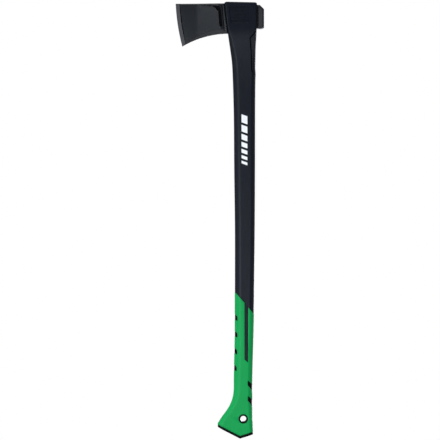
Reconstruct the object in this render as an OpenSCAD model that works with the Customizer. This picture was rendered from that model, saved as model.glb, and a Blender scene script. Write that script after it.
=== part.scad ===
// Splitting maul with a moulded handle.
// A forged wedge head sits in a nylon jacket that is moulded over a fibreglass core.
// A rubber grip covers the lower end, with a butt cap and a lined hang hole.
// X runs from the cutting edge (negative) to the poll (positive), Y is the thickness,
// and Z runs up to the head. The origin is the centre of the hang hole.
// All sizes are in millimetres, and heights are above the hang hole.

/* [Blade] */
// Reach of the upper corner of the cutting edge
edge_reach = 142; // [132:1:155]
// How far the lower corner of the edge sits back from the upper one
edge_rake = 14; // [8:1:20]
// Height of the flat top of the blade
blade_top = 871; // [866:1:872]
// Drop from the upper to the lower corner of the edge
edge_height = 90; // [80:1:100]
// Bulge of the cutting edge beyond a straight line
edge_bulge = 2.5; // [1:0.5:6]
// Width of the ground bevel behind the edge
bevel_width = 8; // [5:0.5:14]
// Thickness of the blade where the ground bevel ends
bevel_thickness = 6; // [4:0.5:9]
// Thickness of the wedge at the back of its cheeks
wedge_thickness = 44; // [36:1:48]
// Thickness of the shoulder that meets the collar
shoulder_thickness = 51; // [46:1:52]
// Depth of the slot between cheek and shoulder
cheek_slot_depth = 2; // [1:0.25:3]

/* [Poll] */
// Reach of the poll behind the hang hole
poll_back = 43.5; // [38:0.5:60]
// Width of the poll across the head
poll_width = 48; // [40:1:50]
// Height of the bottom of the poll
poll_bottom = 818.6; // [812:0.2:819]
// Height of the top of the poll
poll_top = 868; // [866:0.5:870]
// Chamfer at the upper back corner of the poll
poll_chamfer = 9; // [3:1:12]
// Bevel along both sides of the striking face
poll_bevel = 3; // [1:0.5:5]

/* [Handle] */
// Height of the top of the collar
collar_top = 874.5; // [873:0.5:885]
// Thickness of the collar across the head
collar_thickness = 56; // [54:1:60]
// Thickness of the shaft at mid length
shaft_thickness = 27; // [24:1:30]
// Depth of the reliefs in the back of the neck
relief_depth = 1.2; // [0.6:0.2:2]

/* [Grip] */
// Thickness of the grip at mid length
grip_thickness = 30; // [27:1:33]
// Thickness of the flared knob at the butt
knob_thickness = 34; // [30:1:38]
// Wall of the rubber grip
grip_wall = 2.2; // [1.6:0.2:3]
// Thickness of the butt cap
cap_thickness = 5.5; // [3:0.5:6]
// Number of windows along the front of the grip
front_window_count = 4; // [1:1:4]
// Spacing of the front windows
front_window_pitch = 35.3; // [30:0.1:36]
// Number of windows along the back of the grip
back_window_count = 2; // [1:1:2]

/* [Core] */
// Depth of the fibreglass core, front to back
core_depth = 24; // [18:1:26]
// Thickness of the fibreglass core
core_thickness = 13; // [10:1:15]
// Bonding gap between core and eye, filled with epoxy
bond_gap = 1.5; // [1:0.25:2.5]
// Height of the lower end of the core
core_bottom = 26; // [20:1:40]

/* [Hang hole] */
// Clear diameter of the hang hole
hole_d = 12.5; // [8:0.5:14]
// Outer diameter of the liner in the hang hole
liner_d = 18.9; // [16:0.1:20]

/* [Hidden] */

$fn = 64;
reach = 200;

// Collar faces: its front leans forward towards the top, and its back is upright.
collar_foot = 809;
collar_shoulder = 870;
collar_front_low = -32.3;
collar_front_high = -39.9;
collar_back = 28.8;
collar_lean = (collar_front_low - collar_front_high) / (collar_shoulder - collar_foot);
collar_half = collar_thickness / 2;

// Handle shape from the butt to the collar.
// Each row is height, front face, back face, half thickness and corner radius.
knob_half = knob_thickness / 2;
grip_half = grip_thickness / 2;
shaft_half = shaft_thickness / 2;
stations = [
    [-50, -82, 20.4, knob_half, 7],
    [-9.2, -53.4, 19.2, knob_half, 8],
    [4.4, -44.4, 18.6, knob_half, 9],
    [21.2, -32.2, 18.5, knob_half - 0.3, 10],
    [38, -23.9, 18.5, knob_half - 0.8, 11],
    [60, -19.7, 18.5, grip_half + 0.5, 12],
    [100, -19.6, 18.8, grip_half, 12.5],
    [150, -18.1, 20.5, grip_half, 12.5],
    [207, -17.6, 21.8, grip_half - 0.5, 12.5],
    [270, -17.6, 22.7, shaft_half + 0.4, 12],
    [400, -17.6, 24.2, shaft_half, 11.5],
    [520, -19.1, 24.8, shaft_half, 11.5],
    [640, -20, 25, shaft_half + 0.5, 11.5],
    [700, -21.6, 25.4, shaft_half + 1.5, 10],
    [748, -23.9, 26.7, shaft_half + 5, 8],
    [780, -28.1, 27.3, collar_half - 5, 6],
    [collar_foot, collar_front_low, collar_back, collar_half, 4],
    [collar_shoulder, collar_front_high, collar_back, collar_half, 4],
];
corner_steps = 4;
knob_pitch = 6;
neck_pitch = 12;
shaft_pitch = 36;

// Butt line, the lowest points of the handle from front to back.
knob_reach = -53.4;
butt_front = [knob_reach, -17.6];
butt_low = [-7, -41.3];
butt_back = [20.4, -32.8];

// Slanted upper edge of the grip, and the strip of jacket that runs down into it.
grip_top_front = [-17.6, 265.5];
grip_top_back = [22.3, 219.4];
strip_front = 3.6;
strip_back = 9.4;
strip_bottom = 118.4;
strip_bottom_rise = 6;

// Windows in the grip: the inner end of the first front one and the first back one.
front_window = [-13.3, 218];
back_window = [9.7, 79.8];
back_window_pitch = 33.2;

// Blade, from the heel of the edge to the foot of the collar.
edge_top = [-edge_reach, blade_top];
edge_heel = [edge_rake - edge_reach, blade_top - edge_height];
blade_foot = [collar_front_low, 808.6];
underside_sag = 6.4;
wedge_lean = 7;
slot_front = 89;
slot_width = 5.5;
shoulder_front = 101;
edge_land = 1;

// Parts of the forging inside the collar, and the eye through them.
core_x = 1;
core_top = 868;
waist_front = -44;
waist_thickness = 38;
waist_bottom = 820;
waist_top = 864;
eye_depth = core_depth + 2 * bond_gap;
eye_thickness = core_thickness + 2 * bond_gap;

// Plain recessed panel on each side of the collar.
panel_low = [-27, 829];
panel_size = [38, 35];
panel_depth = 0.8;

// Peg of the butt cap, from its front lower corner.
peg_low = [-15, -7, -36.5];
peg_size = [20, 14, 20.5];

// ---- Profile functions ----

// Slope of column c at station i, from its neighbours.
function slope(i, c) =
    let (a = max(i - 1, 0), b = min(i + 1, len(stations) - 1))
    (stations[b][c] - stations[a][c]) / (stations[b][0] - stations[a][0]);

// Index of the station at or below height z.
function below(z, i = 0) =
    i >= len(stations) - 2 || z < stations[i + 1][0] ? i : below(z, i + 1);

// Column c at height z, as a smooth curve through the stations.
function along(z, c) =
    let (
        i = below(z),
        h = stations[i + 1][0] - stations[i][0],
        t = (z - stations[i][0]) / h,
        start = stations[i][c],
        end = stations[i + 1][c]
    )
    (2 * t ^ 3 - 3 * t ^ 2 + 1) * start
    + (3 * t ^ 2 - 2 * t ^ 3) * end
    + (t ^ 3 - 2 * t ^ 2 + t) * h * slope(i, c)
    + (t ^ 3 - t ^ 2) * h * slope(i + 1, c);

// One horizontal ring of the handle, a rounded rectangle drawn in by inset.
function ring(z, inset = 0) =
    let (
        front = max(along(z, 1), knob_reach) + inset,
        back = along(z, 2) - inset,
        half = along(z, 3) - inset,
        r = max(along(z, 4) - inset, 1)
    )
    rounded_ring(front, back, half, r, z);

// Rounded rectangle at height z, from the front to the back face.
function rounded_ring(front, back, half, r, z) =
    let (mid = (front + back) / 2, a = (back - front) / 2 - r, b = half - r)
    [
        for (q = [0:3], k = [0:corner_steps])
            let (t = 90 * (q + k / corner_steps))
            [
                mid + (q == 0 || q == 3 ? a : -a) + r * cos(t),
                (q < 2 ? b : -b) + r * sin(t),
                z
            ]
    ];

// The collar ends in a chamfer along its upper front edge.
function collar_end() =
    [
        ring(collar_shoulder),
        rounded_ring(collar_front_high + 3.6, collar_back, collar_half, 4, collar_top)
    ];

// Rings of the grip and knob, up past the upper edge of the grip.
function lower_rings(inset = 0) =
    concat(
        [for (z = [-49:knob_pitch:62]) ring(z, inset)],
        [for (z = [90:shaft_pitch:290]) ring(z, inset)]
    );

// Points of an arc from p to q. It bulges by h to the left of the line from p to q.
function arc(p, q, h, steps = 16) =
    let (
        chord = norm(q - p),
        r = (chord * chord / 4 + h * h) / (2 * h),
        forward = (q - p) / chord,
        left = [-forward[1], forward[0]],
        centre = (p + q) / 2 + left * (h - r),
        half_angle = asin(chord / 2 / r)
    )
    [
        for (i = [0:steps])
            let (t = half_angle * (2 * i / steps - 1))
            centre + r * (left * cos(t) + forward * sin(t))
    ];

// ---- Building blocks ----

// Closed solid through a stack of rings with equal point counts.
module loft(rings) {
    n = len(rings[0]);
    last = (len(rings) - 1) * n;
    sides = [
        for (i = [0:len(rings) - 2], j = [0:n - 1])
            let (a = i * n + j, b = i * n + (j + 1) % n)
            each [[a, b + n, b], [a, a + n, b + n]]
    ];
    bottom = [for (j = [0:n - 1]) j];
    top = [for (j = [n - 1:-1:0]) last + j];
    polyhedron([for (r = rings) each r], concat([bottom], sides, [top]));
}

// Extrudes an X-Z outline through the thickness of the maul.
module side_prism(thickness = reach) {
    rotate([90, 0, 0])
        translate([0, 0, -thickness / 2])
            linear_extrude(thickness) children();
}

// Bar with round front and back faces, centred on core_x.
module oval_bar(depth, thickness, bottom, top) {
    run = depth - thickness;
    translate([core_x, 0, bottom])
        linear_extrude(top - bottom) {
            square([run, thickness], center = true);
            for (side = [-1, 1])
                translate([side * run / 2, 0]) circle(d = thickness);
        }
}

// ---- Handle surfaces and zones ----

// Surface of the grip and knob, drawn in by inset.
module lower_handle(inset = 0) {
    loft(lower_rings(inset));
}

// Surface of the whole handle, from the butt to the top of the collar.
module whole_handle() {
    loft(concat(
        lower_rings(),
        [for (z = [306:shaft_pitch:682]) ring(z)],
        [for (z = [700:neck_pitch:808]) ring(z)],
        collar_end()
    ));
}

// Surface of the neck, drawn in by inset.
module neck(inset) {
    loft([for (z = [712:neck_pitch:820]) ring(z, inset)]);
}

// Everything above the butt line, raised by lift.
module above_butt(lift = 0) {
    front_slope = (butt_low[1] - butt_front[1]) / (butt_low[0] - butt_front[0]);
    back_slope = (butt_back[1] - butt_low[1]) / (butt_back[0] - butt_low[0]);
    translate([0, 0, lift])
        side_prism()
            polygon([
                butt_low - reach * [1, front_slope],
                butt_low,
                butt_low + reach * [1, back_slope],
                [reach, 2 * reach],
                [-reach, 2 * reach],
            ]);
}

// Everything below the slanted upper edge of the grip, apart from strip and windows.
module grip_zone() {
    rise = (grip_top_back[1] - grip_top_front[1]) / (grip_top_back[0] - grip_top_front[0]);
    difference() {
        side_prism()
            polygon([
                grip_top_front - reach * [1, rise],
                grip_top_front + reach * [1, rise],
                [reach, -reach],
                [-reach, -reach],
            ]);
        side_prism()
            polygon([
                [strip_front, strip_bottom + strip_bottom_rise],
                [strip_back, strip_bottom],
                [strip_back, 2 * reach],
                [strip_front, 2 * reach],
            ]);
        front_windows();
        back_windows();
    }
}

// Slanted windows that wrap round the front of the grip.
module front_windows() {
    for (i = [0:front_window_count - 1])
        translate([front_window[0], 0, front_window[1] - i * front_window_pitch])
            side_prism()
                polygon([[-12, 11.5], [0, -7], [0, -11], [-12, -8.5]]);
}

// Slanted windows that wrap round the back of the grip.
module back_windows() {
    for (i = [0:back_window_count - 1])
        translate([back_window[0], 0, back_window[1] - i * back_window_pitch])
            side_prism()
                polygon([[0, 0], [20, -17], [20, -38], [0, -8]]);
}

// Side outline of the reliefs at the back of the neck.
module relief_zone() {
    side_prism()
        polygon([[26, 813], [12.8, 799], [15.8, 762], [16.2, 729], [21.5, 725], [40, 725], [40, 813]]);
}

// ---- Head ----

// Side outline of the blade: raked bulging edge, flat top and hollow underside.
module blade_outline() {
    polygon(concat(
        arc(edge_heel, edge_top, edge_bulge),
        [[0, blade_top], [0, blade_foot[1]]],
        arc(blade_foot, edge_heel, -underside_sag)
    ));
}

// Plan of the wedge, from the ground edge back to the shoulder behind the slot.
module wedge_plan() {
    cheek = wedge_thickness / 2;
    half = [
        [0, 0],
        [bevel_width, bevel_thickness / 2],
        [slot_front, cheek],
        [slot_front + edge_land, cheek - cheek_slot_depth],
        [slot_front + slot_width, cheek - cheek_slot_depth],
        [slot_front + slot_width + edge_land, cheek + edge_land],
        [shoulder_front, shoulder_thickness / 2],
        [shoulder_front + edge_land, shoulder_thickness / 2],
        [edge_reach, shoulder_thickness / 2],
    ];
    mirrored = [for (i = [len(half) - 1:-1:1]) [half[i][0], -half[i][1]]];
    polygon(concat(half, mirrored));
}

module blade() {
    intersection() {
        side_prism() blade_outline();
        translate([-edge_reach, 0, blade_top])
            rotate([0, -wedge_lean, 0])
                translate([0, 0, -reach])
                    linear_extrude(1.5 * reach) wedge_plan();
        front_of_collar();
    }
}

// Space in front of the leaning front face of the collar.
module front_of_collar() {
    side_prism()
        polygon([
            [collar_front_low + collar_lean * reach, collar_foot - reach],
            [collar_front_high - collar_lean * reach, collar_shoulder + reach],
            [-reach, collar_shoulder + reach],
            [-reach, collar_foot - reach],
        ]);
}

// Block behind the collar that takes blows.
module poll() {
    corner = 2;
    half = poll_width / 2;
    intersection() {
        side_prism(poll_width)
            polygon([
                [collar_back, poll_bottom],
                [poll_back - corner, poll_bottom],
                [poll_back, poll_bottom + corner],
                [poll_back, poll_top - poll_chamfer],
                [poll_back - poll_chamfer, poll_top],
                [collar_back, poll_top],
            ]);
        linear_extrude(collar_top)
            polygon([
                [collar_back, -half],
                [poll_back - poll_bevel, -half],
                [poll_back, poll_bevel - half],
                [poll_back, half - poll_bevel],
                [poll_back - poll_bevel, half],
                [collar_back, half],
            ]);
    }
}

// Narrow middle of the forging, hidden in the collar.
module waist() {
    overlap = 2;
    translate([waist_front, -waist_thickness / 2, waist_bottom])
        cube([collar_back + overlap - waist_front, waist_thickness, waist_top - waist_bottom]);
}

module head_blank() {
    blade();
    waist();
    poll();
}

// Steel forging: wedge, waist and poll in one piece, with an eye for the core.
module head() {
    color([0.17, 0.18, 0.2])
        difference() {
            head_blank();
            oval_bar(eye_depth, eye_thickness, waist_bottom - 1, waist_top + 1);
        }
}

// ---- Core ----

// Fibreglass bar that runs from above the hang hole up through the eye.
module core() {
    color([0.85, 0.8, 0.62])
        oval_bar(core_depth, core_thickness, core_bottom, core_top);
}

// Epoxy that fills the eye around the core.
module eye_bedding() {
    color([0.7, 0.55, 0.3])
        difference() {
            oval_bar(eye_depth, eye_thickness, waist_bottom, waist_top);
            oval_bar(core_depth, core_thickness, waist_bottom - 1, waist_top + 1);
        }
}

// ---- Jacket, grip and butt ----

// Handle surface with the reliefs at the back of the neck.
module relieved_handle() {
    difference() {
        whole_handle();
        relief_zone();
    }
    intersection() {
        neck(relief_depth);
        relief_zone();
    }
}

// Shallow plain panel in each side of the collar.
module collar_panels() {
    for (side = [-1, 1])
        translate([panel_low[0], side * collar_half - panel_depth, panel_low[1]])
            cube([panel_size[0], 2 * panel_depth, panel_size[1]]);
}

// Black nylon moulded round the core and the waist of the head.
module handle_jacket() {
    color([0.13, 0.14, 0.17])
        difference() {
            union() {
                difference() {
                    relieved_handle();
                    grip_zone();
                }
                intersection() {
                    lower_handle(grip_wall);
                    above_butt(cap_thickness);
                }
            }
            head_blank();
            oval_bar(core_depth, core_thickness, core_bottom, waist_bottom + 1);
            oval_bar(core_depth, core_thickness, waist_top - 1, core_top);
            collar_panels();
            hang_hole(liner_d);
            cap_peg();
        }
}

// Green rubber moulded over the lower end of the jacket.
module grip() {
    color([0.13, 0.6, 0.33])
        difference() {
            intersection() {
                lower_handle();
                grip_zone();
                above_butt(cap_thickness);
            }
            lower_handle(grip_wall);
            hang_hole(liner_d);
        }
}

// Hard cap that closes the lower end of the jacket and grip.
module butt_cap() {
    color([0.08, 0.08, 0.1]) {
        difference() {
            intersection() {
                lower_handle();
                above_butt();
            }
            above_butt(cap_thickness);
        }
        cap_peg();
    }
}

// Peg that holds the cap in the jacket.
module cap_peg() {
    translate(peg_low) cube(peg_size);
}

module hang_hole(d) {
    rotate([90, 0, 0])
        cylinder(d = d, h = 2 * knob_thickness, center = true);
}

// Hard ring that lines the hang hole.
module hang_hole_liner() {
    color([0.06, 0.06, 0.07])
        rotate([90, 0, 0])
            difference() {
                cylinder(d = liner_d, h = knob_thickness, center = true);
                cylinder(d = hole_d, h = knob_thickness + 1, center = true);
            }
}

head();
core();
eye_bedding();
handle_jacket();
grip();
butt_cap();
hang_hole_liner();
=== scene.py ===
import math

import bmesh
import bpy
import numpy as np
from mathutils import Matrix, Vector, kdtree
from mathutils.geometry import delaunay_2d_cdt


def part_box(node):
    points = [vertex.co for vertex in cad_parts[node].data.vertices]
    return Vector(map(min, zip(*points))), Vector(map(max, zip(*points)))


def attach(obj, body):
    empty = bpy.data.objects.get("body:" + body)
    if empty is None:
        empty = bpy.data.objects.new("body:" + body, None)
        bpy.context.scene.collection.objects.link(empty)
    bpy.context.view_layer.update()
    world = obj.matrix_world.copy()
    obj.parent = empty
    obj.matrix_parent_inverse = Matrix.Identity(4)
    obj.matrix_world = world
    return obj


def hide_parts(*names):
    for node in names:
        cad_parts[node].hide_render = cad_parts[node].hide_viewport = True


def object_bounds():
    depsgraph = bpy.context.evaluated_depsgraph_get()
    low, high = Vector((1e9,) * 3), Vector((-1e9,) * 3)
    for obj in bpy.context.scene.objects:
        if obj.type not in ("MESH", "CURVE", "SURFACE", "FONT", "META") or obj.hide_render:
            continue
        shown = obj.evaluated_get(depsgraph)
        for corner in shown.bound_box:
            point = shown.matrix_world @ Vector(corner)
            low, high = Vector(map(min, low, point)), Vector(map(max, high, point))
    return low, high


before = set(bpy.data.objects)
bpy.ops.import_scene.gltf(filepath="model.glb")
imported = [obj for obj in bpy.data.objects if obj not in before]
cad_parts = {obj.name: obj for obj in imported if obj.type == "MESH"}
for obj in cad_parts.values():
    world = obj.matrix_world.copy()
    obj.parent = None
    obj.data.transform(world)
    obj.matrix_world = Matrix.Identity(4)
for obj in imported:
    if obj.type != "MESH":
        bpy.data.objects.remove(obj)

# Splitting maul: forged wedge head, moulded nylon handle, rubber grip with windows, butt cap and
# lined hang hole. Shapes are worked out in millimetres and stored in metres, in the CAD's frame.
# Every piece is symmetric about y = 0, so the half at y < 0 is built and then mirrored.

MM = 0.001
CAD_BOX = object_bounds()


def cad_box(node):
    """Lowest and highest corners of a CAD node, in millimetres."""
    low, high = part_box(node)
    return np.array(low) / MM, np.array(high) / MM


HEAD_LOW, HEAD_HIGH = cad_box("head")
CAP_LOW = cad_box("butt_cap")[0]
LINER_LOW, LINER_HIGH = cad_box("hang_hole_liner")

# ---- Sizes ----

COLLAR_TOP = cad_box("handle_jacket")[1][2]
COLLAR_LEAN = 0.124
COLLAR_ROUND = 3.6
# The collar's top slopes down to the back by this drop. The slope builds up from this height.
COLLAR_BACK_DROP = 1.4
COLLAR_SLOPE_FOOT = 849.0

GRIP_WALL = 2.2
GRIP_PROUD = 0.35
CAP_THICKNESS = 5.6
KNOB_REACH = CAP_LOW[0]

HOLE_RADIUS = (LINER_HIGH[0] - LINER_LOW[0]) / 2
LINER_BORE = 6.25

# Lines across the handle's side, from front to back: its butt, and the grip's upper edge.
BUTT_LINE = ((-53.4, -17.8), (-7.0, -41.5), (20.4, -33.0))
GRIP_LINE = ((-17.0, 265.2), (4.0, 242.0), (22.3, 219.4))

# Sides of the strip of nylon that runs down into the grip, and their lower ends.
STRIP = (3.0, 9.9)
STRIP_BOTTOM = (124.3, 118.4)


# ---- Outlines ----


def arc(start, end, bulge, count):
    """Points from start to end on a circle that bulges to the left of the line between them."""
    start, end = np.array(start, float), np.array(end, float)
    chord = np.linalg.norm(end - start)
    radius = (chord**2 / 4 + bulge**2) / (2 * bulge)
    forward = (end - start) / chord
    left = np.array([-forward[1], forward[0]])
    centre = (start + end) / 2 + left * (bulge - radius)
    reach = math.asin(min(chord / 2 / abs(radius), 1)) * (1 if radius > 0 else -1)
    return [
        tuple(centre + radius * (left * math.cos(t) + forward * math.sin(t)))
        for t in np.linspace(-reach, reach, count)
    ]


def quadratic(a, corner, b, shares):
    """Points on the curve from a to b that leans towards corner."""
    return [(1 - t) ** 2 * a + 2 * t * (1 - t) * corner + t**2 * b for t in shares]


def rounded(points, radius, count=5):
    """The closed outline with each corner replaced by a short curve."""
    out = []
    for i, corner in enumerate(np.array(points, float)):
        arms = [np.array(points[k % len(points)], float) - corner for k in (i - 1, i + 1)]
        lengths = [np.linalg.norm(arm) for arm in arms]
        cut = min(radius, *(length * 0.45 for length in lengths))
        a, b = (corner + arm / length * cut for arm, length in zip(arms, lengths))
        out += [tuple(p) for p in quadratic(a, corner, b, np.linspace(0, 1, count))]
    return out


def spaced(points, step, closed=True):
    """The outline with extra points, so that no two neighbours are further apart than step."""
    out = []
    last = len(points) if closed else len(points) - 1
    for i in range(last):
        a = np.array(points[i], float)
        b = np.array(points[(i + 1) % len(points)], float)
        n = max(1, math.ceil(np.linalg.norm(b - a) / step))
        out += [tuple(a + (b - a) * k / n) for k in range(n)]
    return out if closed else out + [tuple(points[-1])]


def right_of(directions):
    """Unit vectors that point to the right of the directions."""
    length = np.linalg.norm(directions, axis=1)[:, None]
    return np.stack([directions[:, 1], -directions[:, 0]], 1) / length


def offset(points, distance):
    """The closed outline grown by distance, or shrunk by a negative one."""
    if distance == 0:
        return list(points)
    p = np.array(points, float)
    following = np.roll(p, -1, axis=0)
    if (p[:, 0] * following[:, 1] - following[:, 0] * p[:, 1]).sum() < 0:  # clockwise
        distance = -distance
    n1, n2 = right_of(p - np.roll(p, 1, axis=0)), right_of(following - p)
    mitre = n1 + n2
    mitre /= np.maximum((mitre * n1).sum(1), 0.35)[:, None]
    return [tuple(q) for q in p + mitre * distance]


def signed_distance(points, path):
    """Distance from each point to the closed outline, negative inside."""
    a = np.array(path, float)
    b = np.roll(a, -1, axis=0)
    p = np.asarray(points, float)
    best = np.full(len(p), 1e9)
    inside = np.zeros(len(p), bool)
    for (ax, az), (bx, bz) in zip(a, b):
        d = np.array([bx - ax, bz - az])
        w = p - (ax, az)
        t = np.clip((w @ d) / max(d @ d, 1e-12), 0, 1)
        best = np.minimum(best, np.linalg.norm(w - t[:, None] * d, axis=1))
        crosses = (az > p[:, 1]) != (bz > p[:, 1])
        if bz != az:
            x = ax + (p[:, 1] - az) * (bx - ax) / (bz - az)
            inside ^= crosses & (p[:, 0] < x)
    return np.where(inside, -best, best)


# ---- Handle shape, read from the CAD ----


def cad_edges():
    """Ends of every edge of the CAD handle, in millimetres."""
    ends = []
    for node in ("handle_jacket", "grip"):
        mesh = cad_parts[node].data
        co = np.array([v.co for v in mesh.vertices]) / MM
        ends.append(co[np.array([e.vertices for e in mesh.edges])])
    return np.concatenate(ends)


CAD_EDGES = cad_edges()


def cad_slice(z):
    """Front face, back face and half thickness of the CAD handle at height z."""
    a, b = CAD_EDGES[:, 0], CAD_EDGES[:, 1]
    cross = (a[:, 2] - z) * (b[:, 2] - z) < 0
    a, b = a[cross], b[cross]
    hit = a + (b - a) * ((z - a[:, 2]) / (b[:, 2] - a[:, 2]))[:, None]
    return hit[:, 0].min(), hit[:, 0].max(), np.abs(hit[:, 1]).max()


def smooth_curve(heights, values):
    """A function of height, a smooth curve through the values."""
    h, v = np.array(heights, float), np.array(values, float)
    slope = np.gradient(v, h)

    def at(z):
        z = np.clip(z, h[0], h[-1])
        i = np.clip(np.searchsorted(h, z) - 1, 0, len(h) - 2)
        step = h[i + 1] - h[i]
        t = (z - h[i]) / step
        ease = t**2 * (3 - 2 * t)
        bow = t * (1 - t) * ((1 - t) * slope[i] - t * slope[i + 1])
        return v[i] * (1 - ease) + v[i + 1] * ease + step * bow

    return at


slice_heights = [*range(-10, 70, 8), *range(80, 690, 30), *range(700, 800, 12), 808.5, 840, 869]
slices = np.array([cad_slice(z + 0.3) for z in slice_heights])
front_face = smooth_curve(slice_heights, slices[:, 0])
back_face = smooth_curve(slice_heights, slices[:, 1])
half_width = smooth_curve(slice_heights, slices[:, 2])
corner_share = smooth_curve(
    [-50, 0, 60, 120, 270, 640, 700, 750, 785, 809, 880],
    [0.42, 0.46, 0.6, 0.66, 0.64, 0.64, 0.6, 0.42, 0.25, 0.13, 0.13],
)

BACK_CORNER_SHARE = 0.7  # the back corners are tighter than the front ones
CORNER_RUN = 1.7
FACE_SHARE = 0.35  # flat part of the front and back faces
# Below this height the faces run on down to the butt, outwards by these shares of the drop.
BUTT_FLARE_TOP = -8.0
BUTT_FRONT_FLARE = 1.2
BUTT_BACK_FLARE = 0.045
LEVEL_BOTTOM = -50.0
SPLINE_STEPS = 12
SPLINE_SPANS = 8
LEVEL_STEP = 1.5


def section(z):
    """Half of the handle's section at height z, from the front centre to the back centre.

    It is a quadratic spline through eight corners, so faces stay flat and corners stay soft.
    """
    drop = max(0.0, BUTT_FLARE_TOP - z)
    front = max(front_face(z) - drop * BUTT_FRONT_FLARE, KNOB_REACH) if z < 0 else front_face(z)
    back = back_face(z) + drop * BUTT_BACK_FLARE
    half = half_width(z)
    corner = half * corner_share(z)
    tight = corner * BACK_CORNER_SHARE
    face = min(FACE_SHARE * half, half - corner - 0.4)
    xs = [front] * 3 + [front + corner, front + corner * CORNER_RUN]
    xs += [back - tight * CORNER_RUN, back - tight] + [back] * 3
    ys = [face, -face, corner - half, *[-half] * 4, tight - half, -face, face]
    c = np.stack([xs, ys], 1)
    middles = (c[:-1] + c[1:]) / 2
    out = []
    for a, corner, b in zip(middles, c[1:], middles[1:]):
        out += quadratic(a, corner, b, np.arange(SPLINE_STEPS) / SPLINE_STEPS)
    return np.array([*out, middles[-1]])


LEVELS = np.arange(LEVEL_BOTTOM, COLLAR_TOP + 2 * LEVEL_STEP, LEVEL_STEP)
SECTIONS = np.array([section(z) for z in LEVELS])
STRIDES = np.linalg.norm(np.diff(SECTIONS, axis=1), axis=2)
ARC_LENGTH = np.pad(np.cumsum(STRIDES, axis=1), ((0, 0), (1, 0)))
tangent = np.gradient(SECTIONS, axis=1)
tangent /= np.linalg.norm(tangent, axis=2)[:, :, None]
NORMALS = np.stack([tangent[:, :, 1], -tangent[:, :, 0]], axis=2)


def at_level(table, z):
    """One row of a table at height z."""
    f = (z - LEVEL_BOTTOM) / LEVEL_STEP
    i = int(np.clip(math.floor(f), 0, len(LEVELS) - 2))
    return table[i] + (table[i + 1] - table[i]) * (f - i)


def sample(table, u, z):
    """Table values at spline positions u and heights z."""
    fu = np.clip(u, 0, SPLINE_SPANS) * SPLINE_STEPS
    fz = np.clip((z - LEVEL_BOTTOM) / LEVEL_STEP, 0, len(LEVELS) - 1.001)
    i = np.minimum(fu.astype(int), SPLINE_SPANS * SPLINE_STEPS - 1)
    k = fz.astype(int)
    a, b = fu - i, fz - k
    if table.ndim == 3:
        a, b = a[:, None], b[:, None]
    low = table[k, i] * (1 - a) + table[k, i + 1] * a
    high = table[k + 1, i] * (1 - a) + table[k + 1, i + 1] * a
    return low * (1 - b) + high * b


SPAN_WIDTH = 7.8  # how wide one spline span is drawn when the handle is laid out flat


def girth(x, z):
    """Distance round the handle from its front centre to the point of the side at (x, z)."""
    row = at_level(SECTIONS, z)
    return float(np.interp(x, row[:, 0], at_level(ARC_LENGTH, z)))


def wrap(points):
    """Side outline (x, z) as (distance round the handle, z)."""
    return [(girth(x, z), z) for x, z in points]


def lay_out(points):
    """(distance round the handle, z) as flat positions for triangulating."""
    out = []
    for s, z in points:
        lengths = at_level(ARC_LENGTH, z)
        u = np.interp(abs(s), lengths, np.arange(len(lengths)) / SPLINE_STEPS)
        beyond = abs(s) - lengths[-1]
        if beyond > 0:
            u = SPLINE_SPANS + beyond / SPAN_WIDTH
        out.append((math.copysign(u, s) * SPAN_WIDTH, z))
    return out


# ---- Mesh building ----


SAME_SPOT = 0.002
ON_MIDDLE = 1e-6
NO_AREA = 1e-6
MERGE_DISTANCE = 2e-6  # metres
SHARP_ANGLE = math.radians(32)


class Feature:
    """A window, land or recess. rim lists (distance outside the outline, height) pairs."""

    def __init__(self, path, rim, hole=False):
        self.path = path
        self.rim = sorted(rim)
        self.hole = hole

    def loops(self):
        return [offset(self.path, d) for d, _ in self.rim]

    def height(self, points):
        away, heights = zip(*self.rim)
        return np.interp(signed_distance(points, self.path), away, heights)


def flat_mesh(loops, strips, rows, clearance, keep):
    """Triangles that follow every closed loop and open strip.

    rows lists (height, positions) pairs of further points, which are left out within clearance
    of the lines' own points. keep tells by their middles which triangles stay.
    """
    points, edges = [], []
    for path, closed in [(p, True) for p in loops] + [(p, False) for p in strips]:
        first, n = len(points), len(path)
        points.extend(path)
        edges.extend((first + i, first + (i + 1) % n) for i in range(n if closed else n - 1))
    tree = kdtree.KDTree(len(points))
    for i, (x, z) in enumerate(points):
        tree.insert((x, z, 0), i)
    tree.balance()
    for z, xs in rows:
        points += [(x, z) for x in xs if tree.find((x, z, 0))[2] > clearance]
    result = delaunay_2d_cdt([Vector(p) for p in points], edges, [], 0, 1e-5)
    flat = np.array([tuple(v) for v in result[0]])
    faces = np.array(result[2])
    a, b, c = (flat[faces[:, i]] for i in range(3))
    twice_area = (b - a)[:, 0] * (c - a)[:, 1] - (b - a)[:, 1] * (c - a)[:, 0]
    wanted = keep(flat[faces].mean(axis=1)) & (np.abs(twice_area) > NO_AREA)
    return flat, faces[wanted]


def fill_rectangle(columns, rows, loops, holes, clearance):
    """Triangles over a rectangle that follow every loop, leaving out the holes."""
    left, right, low, high = columns[0], columns[-1], rows[0], rows[-1]
    border = [(left, z) for z in reversed(rows)] + [(x, low) for x in columns[1:-1]]
    border += [(right, z) for z in rows] + [(x, high) for x in reversed(columns[1:-1])]

    def keep(middle):
        inside = (middle[:, 0] > left) & (middle[:, 0] < right)
        inside &= (middle[:, 1] > low) & (middle[:, 1] < high)
        for hole in holes:
            inside &= signed_distance(middle, hole) > 0
        return inside

    grid = [(z, columns[1:-1]) for z in rows[1:-1]]
    return flat_mesh([border, *loops], [], grid, clearance, keep)


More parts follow.
